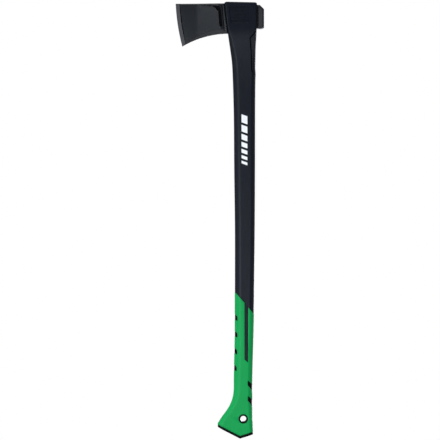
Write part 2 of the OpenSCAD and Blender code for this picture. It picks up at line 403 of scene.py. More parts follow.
def fill_outline(loops, strips, outline, pitch, clearance):
    """Triangles inside a closed outline that follow every loop and open strip."""
    low, high = np.min(outline, axis=0) + pitch / 2, np.max(outline, axis=0)
    columns = np.arange(low[0], high[0], pitch)
    grid = [(z, columns) for z in np.arange(low[1], high[1], pitch)]
    return flat_mesh(loops, strips, grid, clearance, lambda p: signed_distance(p, outline) < 0)


def used_points(flat, faces):
    """The flat points that the faces use, and the faces as lists of their new numbers."""
    used, numbers = np.unique(faces, return_inverse=True)
    return flat[used], numbers.reshape(faces.shape).tolist()


def open_edges(faces):
    """Edges that only one face has, as {pair of points: number of the face}."""
    users = {}
    for k, face in enumerate(faces):
        for a, b in zip(face, face[1:] + face[:1]):
            users.setdefault(frozenset((a, b)), []).append(k)
    return {pair: ks[0] for pair, ks in users.items() if len(ks) == 1}


def mirrored_solid(name, flat, faces, outer, inner=None, ink=None):
    """Closed mesh object from one half.

    outer gives the positions of the flat points. Open edges run on to inner, or to the middle
    plane where inner is None. ink gives a material number for each face's flat middle.
    """
    inks = [0] * len(faces) if ink is None else [int(i) for i in ink(flat[faces].mean(axis=1))]
    flat, faces = used_points(flat, faces)
    top = outer(flat)
    top[np.abs(top[:, 1]) < ON_MIDDLE, 1] = 0
    floor = top * (1, 0, 1) if inner is None else inner(flat)
    floor[top[:, 1] == 0, 1] = 0
    bm = bmesh.new()
    outside, under = ([bm.verts.new(p * MM) for p in skin] for skin in (top, floor))
    for face, number in zip(faces, inks):
        bm.faces.new([outside[i] for i in face]).material_index = number
        if inner is not None:
            bm.faces.new([under[i] for i in reversed(face)]).material_index = number
    border = open_edges(faces)
    feet = middle_feet(top, border) if inner is None else range(len(top))
    for (a, b), k in border.items():
        if top[a][1] != 0 or top[b][1] != 0:
            ring = dict.fromkeys([outside[a], outside[b], under[feet[b]], under[feet[a]]])
            bm.faces.new(ring).material_index = inks[k]
    bmesh.ops.delete(bm, geom=[v for v in bm.verts if not v.link_faces], context="VERTS")
    bmesh.ops.remove_doubles(bm, verts=bm.verts, dist=MERGE_DISTANCE)
    copy = bmesh.ops.duplicate(bm, geom=bm.verts[:] + bm.edges[:] + bm.faces[:])
    for item in copy["geom"]:
        if isinstance(item, bmesh.types.BMVert):
            item.co.y = -item.co.y
    bmesh.ops.remove_doubles(bm, verts=bm.verts, dist=MERGE_DISTANCE)
    bmesh.ops.dissolve_degenerate(bm, edges=bm.edges, dist=MERGE_DISTANCE / 2)
    return finish_mesh(name, bm)


def middle_feet(top, border):
    """For each border point, the point under which it meets the middle plane.

    That is the point itself, except where the border runs straight across the thickness. All of
    such a run closes to the point beyond it, so that no face is left without area.
    """
    run = {i: {i} for pair in border for i in pair}
    for a, b in border:
        if np.abs(top[a] - top[b])[[0, 2]].max() < SAME_SPOT:
            joined = run[a] | run[b]
            run.update(dict.fromkeys(joined, joined))
    feet = {}
    for i, points in run.items():
        beyond = [k for pair in border if len(pair & points) == 1 for k in pair - points]
        beyond = [k for k in beyond if top[k][1] != 0]
        feet[i] = beyond[0] if len(points) > 1 and beyond else i
    return feet


def finish_mesh(name, bm):
    """New object from bm, with its normals outwards and smooth shading between sharp edges."""
    bmesh.ops.recalc_face_normals(bm, faces=bm.faces)
    mesh = bpy.data.meshes.new(name)
    bm.to_mesh(mesh)
    bm.free()
    mesh.shade_smooth()
    mesh.set_sharp_from_angle(angle=SHARP_ANGLE)
    piece = bpy.data.objects.new(name, mesh)
    bpy.context.scene.collection.objects.link(piece)
    return piece


def paint(piece, *materials):
    """The piece with these materials in its slots."""
    for material in materials:
        piece.data.materials.append(material)
    return piece


def handle_sheet(name, low, high, features, pitch, height, cut=None, wall=None, rows=(), ink=None):
    """A piece of the handle between two heights, as a skin over the handle's sections.

    height gives how far each (distance round, z) point stands out, and cut how much its side is
    planed down. With a wall the piece is a shell of that thickness, and without it a solid.
    Close to the top of the collar the sections shrink, which rounds its rim.
    """
    holes = [lay_out(spaced(f.path, 2.0)) for f in features if f.hole]
    loops = [lay_out(spaced(loop, 1.6)) for f in features for loop in f.loops()]
    rows = sorted({low, high, *rows, *np.linspace(low, high, math.ceil((high - low) / pitch))})
    columns = list(np.linspace(0, SPLINE_SPANS * SPAN_WIDTH, SPLINE_SPANS * 4 + 1))
    flat, faces = fill_rectangle(columns, rows, loops, holes, 0.75)

    def unrolled(points):
        u, z = points[:, 0] / SPAN_WIDTH, points[:, 1]
        return u, z, np.stack([sample(ARC_LENGTH, u, z), z], 1)

    def place(points, lift):
        u, z, round_z = unrolled(points)
        xy = sample(SECTIONS, u, z) + sample(NORMALS, u, z) * lift(round_z)[:, None]
        if cut is not None:
            xy[:, 1] = np.maximum(xy[:, 1], cut(round_z) - half_width(z))
        front, back = front_face(z), back_face(z)
        middle, depth = (front + back) / 2, back - front
        above = np.clip((z - COLLAR_TOP + COLLAR_ROUND) / COLLAR_ROUND, 0, 1)
        inset = COLLAR_ROUND * (1 - np.sqrt(1 - above**2))
        xy[:, 0] = middle + (xy[:, 0] - middle) * (1 - 2 * inset / depth)
        xy[:, 1] *= 1 - inset / half_width(z)
        on_middle = (u < ON_MIDDLE) | (u > SPLINE_SPANS - ON_MIDDLE)
        xy[on_middle, 1] = 0
        drop = np.clip((z - COLLAR_SLOPE_FOOT) / (COLLAR_TOP - COLLAR_SLOPE_FOOT), 0, 1)
        back_share = (xy[:, 0] - front) / depth
        return np.stack([xy[:, 0], xy[:, 1], z - COLLAR_BACK_DROP * drop * back_share], 1)

    def outer(points):
        return place(points, height)

    def inner(points):
        return place(points, lambda round_z: np.full(len(round_z), -wall))

    def inked(points):
        return ink(unrolled(points)[2])

    return mirrored_solid(
        name, flat, faces, outer, inner if wall is not None else None, inked if ink else None
    )


# ---- Handle outlines ----


def line_height(line, x):
    """Height at x of a line through three points, run on past its ends."""
    (ax, az), (bx, bz) = line[:2] if x < line[1][0] else line[1:]
    return az + (bz - az) * (x - ax) / (bx - ax)


def butt_region(thickness, far):
    """Area between the level far and the butt line raised by thickness.

    It is an outline of (distance round, z), and it runs past both centre lines of the handle.
    """
    path = []
    for x in np.arange(front_face(0) - 60, back_face(0) + 8, 1.5):
        z = line_height(BUTT_LINE, x) + thickness
        row = at_level(SECTIONS, z)
        if row[0, 0] < x < row[-1, 0]:
            path.append((girth(x, z), z))
    before, (end, end_z), beyond = -4.0, path[-1], path[-1][0] + 34.0
    path = [(before, path[0][1]), (0, path[0][1]), *path]
    return path + [(end + 1, end_z), (beyond, end_z), (beyond, far), (before, far)]


def grip_top_region():
    """Everything above the grip: the shaft, and the strip that runs down into the grip."""
    left, right = STRIP
    ends = [(x, line_height(GRIP_LINE, x)) for x in STRIP]
    notch = rounded([ends[0], *zip(STRIP, STRIP_BOTTOM), ends[1]], 0.9)
    before = np.arange(GRIP_LINE[0][0], left - 1, 1.5)
    after = np.arange(right + 1, GRIP_LINE[2][0] - 0.3, 1.5)
    edge = [(x, line_height(GRIP_LINE, x)) for x in before]
    edge += spaced(notch, 1.6, closed=False)
    edge += [(x, line_height(GRIP_LINE, x)) for x in after]
    path = wrap(edge)
    start_z, (end, end_z) = path[0][1] + 0.6, path[-1]
    before, beyond, top = -4, end + 40, GRIP_LINE[0][1] + 60
    path = [(before, start_z), (0, start_z), *path, (end + 3, end_z - 1), (beyond, end_z - 1)]
    return path + [(beyond, top), (before, top)]


FRONT_WINDOW_TOPS = [217.8 - 35.3 * i for i in range(4)]
BACK_WINDOW_TOPS = (79.8, 47.6)
BACK_WINDOW_INNER = 9.5


def chevron(upper, lower, centre):
    """Window outline that crosses a centre line, from the points of one arm.

    centre is (distance round, top, foot) where the outline crosses the line.
    """
    upper, lower = wrap(upper), wrap(lower)
    middle, top, foot = centre
    half = [(middle, foot), *lower, *reversed(upper), (middle, top)]
    return rounded(half + [(2 * middle - s, z) for s, z in half[-2:0:-1]], 1.3)


def front_window(top):
    """Window that points up and wraps the front of the grip."""
    face = float(front_face(top - 6))
    upper = [(face + 1.2, top + 0.4), (face + 5.0, top - 3.6)]
    lower = [(face + 1.2, top - 10.2), (face + 5.4, top - 12.4)]
    return chevron(upper, lower, (0.0, top + 3.4, top - 9.0))


def back_window(top):
    """Window that points down and wraps the back of the grip."""
    face = float(back_face(top - 12)) - 0.5
    upper = [(face, top - 7.4), (BACK_WINDOW_INNER, top + 0.5)]
    lower = [(face, top - 21.6), (BACK_WINDOW_INNER, top - 9.4)]
    return chevron(upper, lower, (at_level(ARC_LENGTH, top - 16)[-1], top - 11.0, top - 27.0))


def hole_path(radius):
    """Circle round the hang hole."""
    turn = np.linspace(0, 2 * math.pi, 72, endpoint=False)
    return wrap([(radius * math.cos(t), radius * math.sin(t)) for t in turn])


WINDOWS = [front_window(top) for top in FRONT_WINDOW_TOPS]
WINDOWS += [back_window(top) for top in BACK_WINDOW_TOPS]
GRIP_TOP = grip_top_region()

# ---- Materials ----


class Nodes:
    """A node tree, with short calls for the nodes used here."""

    def __init__(self, owner):
        owner.use_nodes = True
        self.tree = owner.node_tree

    def set(self, node, values):
        """Sets inputs, by name or number, to a value or to another node's output."""
        for key, value in values.items():
            if isinstance(value, bpy.types.NodeSocket):
                self.tree.links.new(value, node.inputs[key])
            else:
                node.inputs[key].default_value = value

    def add(self, kind, values=(), **settings):
        node = self.tree.nodes.new("ShaderNode" + kind)
        for key, value in settings.items():
            setattr(node, key, value)
        self.set(node, dict(values))
        return node

    def ramp(self, source, low, high, out_low=0.0, out_high=1.0):
        values = {"From Min": low, "From Max": high, "To Min": out_low, "To Max": out_high}
        return self.add("MapRange", {"Value": source, **values}).outputs["Result"]

    def show(self, output, seen, unseen):
        """The tree's result: seen for the camera, and unseen for all other rays."""
        to_camera = self.add("LightPath").outputs["Is Camera Ray"]
        both = self.add("MixShader", {0: to_camera, 1: unseen.outputs[0], 2: seen.outputs[0]})
        self.add(output, {0: both.outputs[0]})


class Finish(Nodes):
    """A material of the maul."""

    def __init__(self, name):
        self.material = bpy.data.materials.new(name)
        super().__init__(self.material)
        self.position = self.add("TexCoord").outputs["Object"]

    def done(self, colour, roughness, normal, specular=0.5, metallic=0.0):
        """The material, with its shader's inputs set."""
        values = {"Base Color": colour, "Roughness": roughness, "Normal": normal}
        values |= {"Specular IOR Level": specular, "Metallic": metallic}
        self.set(self.tree.nodes["Principled BSDF"], values)
        return self.material

    def noise(self, scale, detail=3.0, roughness=0.55, stretch=(1, 1, 1)):
        place = self.add("Mapping", {"Vector": self.position, "Scale": stretch}).outputs["Vector"]
        values = {"Vector": place, "Scale": scale, "Detail": detail, "Roughness": roughness}
        return self.add("TexNoise", values).outputs["Fac"]

    def uneven(self, scale, low, high):
        """A value that drifts between low and high."""
        return self.ramp(self.noise(scale, detail=4), 0.3, 0.7, low, high)

    def cells(self, scale):
        values = {"Vector": self.position, "Scale": scale}
        return self.add("TexVoronoi", values).outputs["Distance"]

    def blend(self, factor, a, b):
        a, b = ((*colour, 1) if isinstance(colour, tuple) else colour for colour in (a, b))
        return self.add("Mix", {0: factor, 6: a, 7: b}, data_type="RGBA").outputs[2]

    def bump(self, source, strength, distance, after=None):
        values = {"Height": source, "Strength": strength, "Distance": distance}
        if after is not None:
            values["Normal"] = after
        return self.add("Bump", values).outputs["Normal"]

    def open_share(self, distance):
        """1 on open faces, falling to 0 inside narrow recesses."""
        node = self.add("AmbientOcclusion", {"Distance": distance}, samples=8)
        return self.ramp(node.outputs["AO"], 0.5, 0.97)

    def edges(self, low, high):
        """1 on sharp edges, falling to 0 on flat faces."""
        return self.ramp(self.add("NewGeometry").outputs["Pointiness"], low, high)


def coated_steel():
    """Black baked coating over a forged surface, lighter along its sharp edges: rubbed wear, and
    painted highlight.
    """
    n = Finish("coated_steel")
    colour = n.blend(n.noise(260, detail=4), (0.0052, 0.0066, 0.0096), (0.0066, 0.0082, 0.0114))
    # Lighter on sharp edges: partly rubbed wear, partly a painted highlight where edges catch light.
    colour = n.blend(n.edges(0.56, 0.7), colour, (0.03, 0.032, 0.037))
    # Painted shade: near black inside narrow recesses.
    open_share = n.open_share(0.007)
    colour = n.blend(open_share, (0.002, 0.002, 0.003), colour)
    roughness = n.ramp(n.noise(340, detail=5), 0.3, 0.75, 0.32, 0.38)
    scale = n.bump(n.noise(420, detail=4), 0.22, 0.0003)
    normal = n.bump(n.cells(1400), 0.12, 0.00012, after=scale)
    # The specular level falls to nothing inside recesses, as painted shade.
    return n.done(colour, roughness, normal, n.ramp(open_share, 0, 1, 0.0, 0.25))


def ground_steel():
    """Steel ground to an edge, with fine lines that run back from it, then blacked again."""
    n = Finish("ground_steel")
    lines = n.noise(1000, detail=3, roughness=0.7, stretch=(0.05, 0.4, 1.6))
    colour = n.blend(lines, (0.026, 0.026, 0.030), (0.056, 0.056, 0.062))
    roughness = n.ramp(lines, 0.3, 0.7, 0.42, 0.55)
    return n.done(colour, roughness, n.bump(lines, 0.2, 0.0001), 0.3, metallic=0.5)


def recess_shade_steel():
    """Near-black, dull steel that paints the shade in the forging's recesses and in the line behind
    the ground edge.
    """
    n = Finish("recess_shade_steel")
    colour = n.blend(n.noise(90), (0.0015, 0.0018, 0.0025), (0.0035, 0.0040, 0.0050))
    return n.done(colour, 0.6, n.bump(n.noise(700, detail=4), 0.3, 0.0003), 0.05)


def moulded_nylon():
    """Black glass-filled nylon with a fine spark-eroded texture."""
    n = Finish("moulded_nylon")
    fibres = n.noise(500, detail=2, stretch=(1, 1, 0.12))
    colour = n.blend(n.noise(26), (0.0055, 0.0071, 0.0120), (0.0072, 0.0091, 0.0155))
    colour = n.blend(n.ramp(fibres, 0.55, 0.8, 0, 0.3), colour, (0.016, 0.019, 0.028))
    # Painted shade: near black inside narrow recesses, and less specular there.
    open_share = n.open_share(0.004)
    colour = n.blend(open_share, (0.001, 0.001, 0.002), colour)
    normal = n.bump(n.noise(2600, detail=2), 0.32, 0.00012)
    specular = n.ramp(open_share, 0, 1, 0.0, 0.12)
    return n.done(colour, n.uneven(160, 0.34, 0.44), normal, specular)


def smooth_plastic(name, dark, light, specular, roughness):
    """Hard black plastic from a smooth mould."""
    n = Finish(name)
    colour = n.blend(n.noise(60), dark, light)
    normal = n.bump(n.noise(1800, detail=2), 0.15, 0.0001)
    return n.done(colour, n.uneven(240, *roughness), normal, specular)


def window_shade_nylon():
    """The jacket's nylon on the lands in the grip's windows: a darker copy that paints the shade
    there, and smoother.
    """
    dark, light = (0.0020, 0.0020, 0.0030), (0.0035, 0.0035, 0.0045)
    return smooth_plastic("window_shade_nylon", dark, light, 0.05, (0.32, 0.42))


def cap_plastic():
    """Plastic of the butt cap and the hang hole's liner."""
    dark, light = (0.0010, 0.0010, 0.0014), (0.0025, 0.0025, 0.0033)
    return smooth_plastic("cap_plastic", dark, light, 0.07, (0.34, 0.46))


def soft_rubber():
    """Matte green rubber, slightly mottled, with a fine pebbled surface."""
    n = Finish("soft_rubber")
    colour = n.blend(n.noise(30, detail=4), (0.002, 0.27, 0.060), (0.004, 0.32, 0.076))
    # Painted shade: darker green inside narrow recesses.
    colour = n.blend(n.open_share(0.002), (0.0, 0.06, 0.015), colour)
    return n.done(colour, n.uneven(200, 0.4, 0.52), n.bump(n.cells(1500), 0.25, 0.00012), 0.12)


def white_ink():
    """Pad-printed ink, a little thin in places."""
    n = Finish("white_ink")
    colour = n.blend(n.noise(900, detail=3), (0.80, 0.82, 0.85), (0.93, 0.94, 0.95))
    return n.done(colour, 0.45, n.bump(n.noise(2600, detail=2), 0.25, 0.0001))


def glass_fibre():
    """Resin with glass strands that run along the bar."""
    n = Finish("glass_fibre")
    strands = n.noise(600, detail=3, stretch=(1, 1, 0.04))
    colour = n.blend(strands, (0.52, 0.44, 0.22), (0.78, 0.72, 0.48))
    return n.done(colour, n.ramp(strands, 0.3, 0.7, 0.3, 0.5), n.bump(strands, 0.3, 0.0002))


def cured_epoxy():
    """Amber resin with small bubbles."""
    n = Finish("cured_epoxy")
    colour = n.blend(n.noise(80), (0.36, 0.2, 0.05), (0.5, 0.32, 0.1))
    return n.done(colour, 0.25, n.bump(n.cells(900), 0.2, 0.0002))


# ---- Head ----

BLADE_TOP = HEAD_HIGH[2]
EDGE_TOP = (HEAD_LOW[0], BLADE_TOP)
EDGE_HEEL = (HEAD_LOW[0] + 14, BLADE_TOP - 90)
EDGE_BULGE = 2.5
BLADE_FOOT = (-32.3, 808.6)
UNDERSIDE_SAG = 6.4
BLADE_END = -22.0
BEVEL_WIDTH = 8.0
BEVEL_HALF = 3.0
EDGE_HALF = 0.12
CHEEK_HALF = 22.0
CHEEK_CREASE = -98.5
CREASE_HALF = 7.6
RIDGE_HALF = 22.6
SHOULDER_HALF = 25.6
CREASE_ROUND = 3.0
# Shallow groove behind the ground edge, with its dark line painted as shade.
GRIND_WIDTH = 2.4
GRIND_DEPTH = 0.35
GRIND_MIDDLE = 832.0
GRIND_REACH = 38.0
# Recess between cheek and shoulder, with an arm that runs along the top of the cheek.
SLOT_WIDTH = 6.0
SLOT_FOOT, SLOT_BEND, SLOT_TOP = 822.6, 855.0, 866.9
SLOT_ARM_END = -97.0
SLOT_ARM_BEND = -62.0
SLOT_CORNER = (-49.5, 866.0)
# Thin groove behind the recess, as distances from the recess's front.
GROOVE = (8.2, 9.7)
GROOVE_FOOT, GROOVE_TOP = 812.5, 868.8
# The blade's underside has a rim that widens from the heel to the collar.
TOP_CHAMFER = 1.8
RIM_NARROW, RIM_WIDE = 1.6, 8.0
RIM_START, RIM_RUN = -126.0, 60.0
RIM_PALE_WIDTH = 2.4  # the rim takes the lighter ground_steel where it is wider than this


def edge_x(z):
    """Cutting edge at height z."""
    path = np.array(arc(EDGE_HEEL, EDGE_TOP, EDGE_BULGE, 60))
    return np.interp(z, path[:, 1], path[:, 0])


def collar_x(z):
    """Front face of the collar at height z."""
    return BLADE_FOOT[0] - (z - BLADE_FOOT[1]) * COLLAR_LEAN


def slot_x(z):
    """Front of the slot between cheek and shoulder at height z."""
    return -53.6 - (z - 866) * 0.095


def grind_width(z):
    """Width of the dark line behind the ground edge at height z. It thins out at its ends."""
    return GRIND_WIDTH * np.clip(1 - ((z - GRIND_MIDDLE) / GRIND_REACH) ** 4, 0.15, 1)


def rim_width(x):
    """Width of the underside's rim at x."""
    return RIM_NARROW + (RIM_WIDE - RIM_NARROW) * np.clip((x - RIM_START) / RIM_RUN, 0, 1)


def underside():
    """Hollow underside of the blade, from the collar to the heel of the edge."""
    return arc(BLADE_FOOT, EDGE_HEEL, -UNDERSIDE_SAG, 40)


def blade_half(points):
    """Half thickness of the wedge, before its edges are chamfered."""
    x, z = points[:, 0], points[:, 1]
    behind = x - edge_x(z)
    slot = slot_x(z)
    bevel = EDGE_HALF + (BEVEL_HALF - EDGE_HALF) * behind / BEVEL_WIDTH
    ground = edge_x(z) + BEVEL_WIDTH
    flat_slope = (CREASE_HALF - BEVEL_HALF) / (CHEEK_CREASE - ground)
    flare_slope = (CHEEK_HALF - CREASE_HALF) / (slot - CHEEK_CREASE)
    past = x - CHEEK_CREASE
    flare = (past + np.sqrt(past**2 + CREASE_ROUND**2)) / 2
    cheek = CREASE_HALF + flat_slope * past + (flare_slope - flat_slope) * flare
    ridge = slot + GROOVE[1]
    shoulder = CHEEK_HALF + (RIDGE_HALF - CHEEK_HALF) * np.clip((x - slot) / 0.8, 0, 1)
    rise = np.clip((x - ridge) / (collar_x(z) - ridge), 0, 1)
    shoulder += (SHOULDER_HALF - RIDGE_HALF) * rise
    across_line = (behind - BEVEL_WIDTH) / grind_width(z)
    line_depth = GRIND_DEPTH * np.clip(1 - np.abs(2 * across_line - 1), 0, 1)
    return np.where(behind < BEVEL_WIDTH, bevel, np.where(x < slot, cheek, shoulder)) - line_depth


def band(line, left, right, low, high, corner):
    """Closed outline along a leaning line, between two distances from it and two heights."""
    ends = [(line(low) + left, low), (line(low) + right, low)]
    return rounded(ends + [(line(high) + right, high), (line(high) + left, high)], corner)


def bent(points):
    """Three points, with the middle one replaced by a round bend."""
    return [points[0], *rounded(points, 8, 9)[9:18], points[2]]


def slot_outline():
    """Outline of the recess that runs along the top of the cheek and turns down into the slot."""
    front, back = -0.5, SLOT_WIDTH
    start = (SLOT_ARM_END, SLOT_TOP - 0.3)
    inside = bent([start, (SLOT_ARM_BEND, SLOT_TOP - 2.1), (slot_x(SLOT_BEND) + front, SLOT_BEND)])
    foot = [(slot_x(SLOT_FOOT) + side, SLOT_FOOT) for side in (front, back)]
    outside = bent([(slot_x(SLOT_BEND) + back, SLOT_BEND), SLOT_CORNER, (SLOT_ARM_BEND, SLOT_TOP)])
    return rounded(inside + foot + outside, 1.0)


def offset_line(points, distance):
    """An open line moved to its right by distance."""
    p = np.array(points, float)
    return [tuple(q) for q in p + right_of(np.gradient(p, axis=0)) * distance]


def blade_sheet():
    """Half of the wedge and shoulder, as flat triangles and the function that places them."""
    bottom = underside()
    foot = (BLADE_END, BLADE_FOOT[1])
    outline = arc(EDGE_HEEL, EDGE_TOP, EDGE_BULGE, 60)[:-1]
    outline += spaced([EDGE_TOP, (BLADE_END, BLADE_TOP)], 2.0, closed=False)
    outline += spaced([foot, BLADE_FOOT], 2.0, closed=False)[:-1] + bottom[:-1]
    groove_path = band(slot_x, *GROOVE, GROOVE_FOOT, GROOVE_TOP, 0.6)
    gap_path = band(collar_x, -1.7, 5, 790, 880, 0.3)
    features = [
        Feature(slot_outline(), [(0.0, 0.0), (-0.35, -3.0), (-1.0, -5.0)]),
        Feature(groove_path, [(0.0, 0.0), (-0.5, -1.3)]),
        Feature(gap_path, [(0.0, 0.0), (-0.5, -2.4)]),
    ]

    rim_line = [
        tuple(np.array(p) + (np.array(q) - p) * (rim_width(p[0]) / 5))
        for p, q in zip(bottom, offset_line(bottom, 5))
    ]
    strips = [rim_line, offset_line(bottom, 0.8)]
    for share in (0, 0.5, 1):
        heights = np.linspace(775, 875, 50)
        behind = BEVEL_WIDTH + share * grind_width(heights)
        strips.append(list(zip(edge_x(heights) + behind, heights)))
    strips.append([(collar_x(z), z) for z in np.linspace(800, 875, 30)])
    strips += [[(slot_x(z), z) for z in span] for span in ((800, 810, 821), (868, 875))]
    strips.append([(x, BLADE_TOP - TOP_CHAMFER) for x in np.arange(-150, BLADE_END + 4, 2.0)])
    loops = [outline] + [spaced(loop, 1.4) for f in features for loop in f.loops()]
    flat, faces = fill_outline(loops, strips, outline, 2.2, 0.8)
    front, back, deep = EDGE_HEEL[0] - 10, BLADE_FOOT[0] + 60, 700
    below = bottom + [(front, deep), (back, deep), (back, BLADE_FOOT[1])]

    def place(points):
        half = blade_half(points)
        for feature in features:
            half = half + feature.height(points)
        from_top = BLADE_TOP - points[:, 1]
        from_low = signed_distance(points, below)
        wide = rim_width(points[:, 0])
        low_depth = np.minimum(0.8 * wide, 0.5 * half) * np.clip(1 - from_low / wide, 0, 1)
        low_depth += np.minimum(0.5, 0.1 * half) * np.clip(1 - from_low / 0.8, 0, 1)
        top_depth = np.minimum(1.5, 0.4 * half) * np.clip(1 - from_top / TOP_CHAMFER, 0, 1)
        half = np.maximum(half - low_depth - top_depth, EDGE_HALF * 0.6)
        return np.stack([points[:, 0], -half, points[:, 1]], 1)

    def ink(middles):
        behind = middles[:, 0] - edge_x(middles[:, 1]) - BEVEL_WIDTH
        # Material 2 paints shade: the recesses and the line behind the ground edge turn near black.
        sunk = np.min([signed_distance(middles, f.path) for f in features], axis=0) < -0.3
        sunk |= (behind > 0) & (behind < grind_width(middles[:, 1]))
        wide = rim_width(middles[:, 0])
        # Material 1, the lighter ground_steel, covers the bevel and the underside rim where the rim
        # is wide.
        rim = (signed_distance(middles, below) < wide) & (wide > RIM_PALE_WIDTH)
        return np.where(sunk, 2, np.where((behind < 0) | rim, 1, 0))

    return flat, faces, place, ink


POLL_LOW = 818.6
POLL_HIGH = 867.9
POLL_HALF = 24.0
POLL_CHAMFER = 9.0
POLL_FRONT = 12.0
POLL_FACE = 28.4
POLL_CORNER = 2.2
WAIST_HALF = 19.0
WAIST_LOW, WAIST_HIGH = 821.0, 865.0
WAIST_LAP = 12.0  # how far the waist runs into blade and poll
HEAD_SHARP_ANGLE = math.radians(20)


def poll_sheet():
    """Half of the poll, with a bevel all round its side."""
    back = HEAD_HIGH[0]
    corners = [
        (POLL_FRONT, POLL_LOW),
        (back - POLL_CORNER, POLL_LOW),
        (back, POLL_LOW + POLL_CORNER),
        (back, POLL_HIGH - POLL_CHAMFER),
        (back - POLL_CHAMFER, POLL_HIGH),
        (POLL_FRONT, POLL_HIGH),
    ]
    outline = spaced(rounded(corners, 1.2, 4), 1.6)
    face = [(POLL_FACE, POLL_LOW), *corners[1:5], (POLL_FACE, POLL_HIGH)]
    rim = [(-4.0, -0.5), (-3.6, 0.0), (-3.1, 0.0), (-0.6, -2.2), (0.0, -3.6)]
    side = Feature(spaced(rounded(face, 1.2, 4), 1.6), rim)
    loops = [outline] + [spaced(loop, 1.4) for loop in side.loops()]
    flat, faces = fill_outline(loops, [], outline, 2.2, 0.7)

    def place(points):
        half = POLL_HALF + side.height(points)
        return np.stack([points[:, 0], -half, points[:, 1]], 1)

    def ink(middles):
        return (side.height(middles) < 0).astype(int)

    return flat, faces, place, ink


def waist_sheet():
    """Half of the narrow middle of the forging, inside the collar."""
    front, back = BLADE_END - WAIST_LAP, POLL_FRONT + WAIST_LAP
    outline = [(front, WAIST_LOW), (back, WAIST_LOW), (back, WAIST_HIGH), (front, WAIST_HIGH)]
    flat, faces = fill_outline([spaced(outline, 6)], [], outline, 8, 3)

    def place(points):
        return np.stack([points[:, 0], np.full(len(points), -WAIST_HALF), points[:, 1]], 1)

    return flat, faces, place, None


def build_head(coated, ground, sunk):
    """The forging: blade, waist and poll joined into one closed mesh."""
    flat, faces, place, ink = blade_sheet()
    blade = paint(mirrored_solid("head_forging", flat, faces, place, ink=ink), coated, ground, sunk)
    for name, (flat, faces, place, ink) in (("poll", poll_sheet()), ("waist", waist_sheet())):
        part = paint(mirrored_solid(name, flat, faces, place, ink=ink), coated, ground)
        join = blade.modifiers.new(name, "BOOLEAN")
        join.operation = "UNION"
        join.solver = "EXACT"
        join.object = part
        apply_modifiers(blade)
        bpy.data.objects.remove(part)
    bm = bmesh.new()
    bm.from_mesh(blade.data)
    bmesh.ops.triangulate(bm, faces=[face for face in bm.faces if len(face.verts) > 4])
    bm.to_mesh(blade.data)
    bm.free()
    blade.data.shade_smooth()
    blade.data.set_sharp_from_angle(angle=HEAD_SHARP_ANGLE)
    return blade


def apply_modifiers(piece):
    """Bakes the piece's modifiers into its mesh."""
    bpy.context.view_layer.update()
    evaluated = piece.evaluated_get(bpy.context.evaluated_depsgraph_get())
    mesh = bpy.data.meshes.new_from_object(evaluated)
    piece.modifiers.clear()
    piece.data = mesh


# ---- Jacket, grip, cap and liner ----

PANEL_LOW, PANEL_HIGH, PANEL_BACK = 829.5, 864.5, 11.5
RIB_FEET = (834.5, 841.5, 848.5, 855.5)
RIB_FRONT, RIB_BACK, RIB_TALL = -24.0, 6.5, 3.4


def collar_panel():
    """Outline of the plain recessed panel on the side of the collar."""
    front = [(collar_x(z) + 8.5, z) for z in (PANEL_LOW, PANEL_HIGH)]
    return [front[0], (PANEL_BACK, PANEL_LOW), (PANEL_BACK, PANEL_HIGH), front[1]]


def collar_rib(foot):
    """Outline of a plain level rib that stands in the panel."""
    top = foot + RIB_TALL
    return [(RIB_FRONT, foot), (RIB_BACK, foot), (RIB_BACK, top), (RIB_FRONT, top)]


def neck_relief():
    """Outline of the relief at the back of the neck, run on past the back centre."""
    upper = [(25.5, 813), (23.5, 811.2), (12.8, 799), (15.8, 762)]
    lower = [(16.2, 731), (18.0, 727.5), (25.6, 724)]
    path = wrap(spaced(upper + lower, 3.0, closed=False))
    far = path[-1][0] + 30
    return path + [(far, path[-1][1]), (far, path[0][1])]


def build_jacket(material, window_shade_material):
    """Nylon from the collar to the butt, with its raised lands in the grip's windows."""
    deep = -GRIP_WALL - 0.1
    shaft = Feature(GRIP_TOP, [(-0.7, 0.0), (-0.12, -0.42), (0.0, deep)])
    lands = [Feature(path, [(-0.7, -0.1), (-0.1, -0.35), (0.0, deep)]) for path in WINDOWS]
    panel_path = wrap(spaced(rounded(collar_panel(), 3.0), 1.5))
    rib_paths = [wrap(spaced(rounded(collar_rib(foot), 0.8), 1.5)) for foot in RIB_FEET]
    planes = [Feature(panel_path, [(-1.0, 1.0), (0.0, 0.0)])]
    planes.append(Feature(neck_relief(), [(-2.3, 1.3), (-1.3, 2.3), (-0.8, 2.3), (0.0, 0.0)]))
    planes += [Feature(path, [(-0.4, -0.45), (0.0, 0.0)]) for path in rib_paths]
    butt = Feature(butt_region(CAP_THICKNESS, -48), [(0, 0)], hole=True)
    hole = Feature(hole_path(HOLE_RADIUS + 0.03), [(0, 0)], hole=True)
    rim_turn = np.radians([15, 30, 45, 60, 72, 83])
    rim_rows = COLLAR_TOP - COLLAR_ROUND * (1 - np.sin(rim_turn))

    def height(q):
        lift = np.max([f.height(q) for f in (shaft, *lands)], axis=0)
        return np.where(q[:, 1] > GRIP_LINE[0][1] + 20, 0, lift)

    def cut(q):
        return np.sum([f.height(q) for f in planes], axis=0)

    def ink(q):
        # The lands in the windows take the darker copy of the nylon, as painted shade.
        return np.min([signed_distance(q, land.path) for land in lands], axis=0) < 0

    features = [shaft, *lands, planes[0], *planes[2:], planes[1], butt, hole]
    low = CAP_LOW[2] - 2
    piece = handle_sheet(
        "nylon_jacket", low, COLLAR_TOP, features, 3.6, height, cut, rows=rim_rows, ink=ink
    )
    return paint(piece, material, window_shade_material)


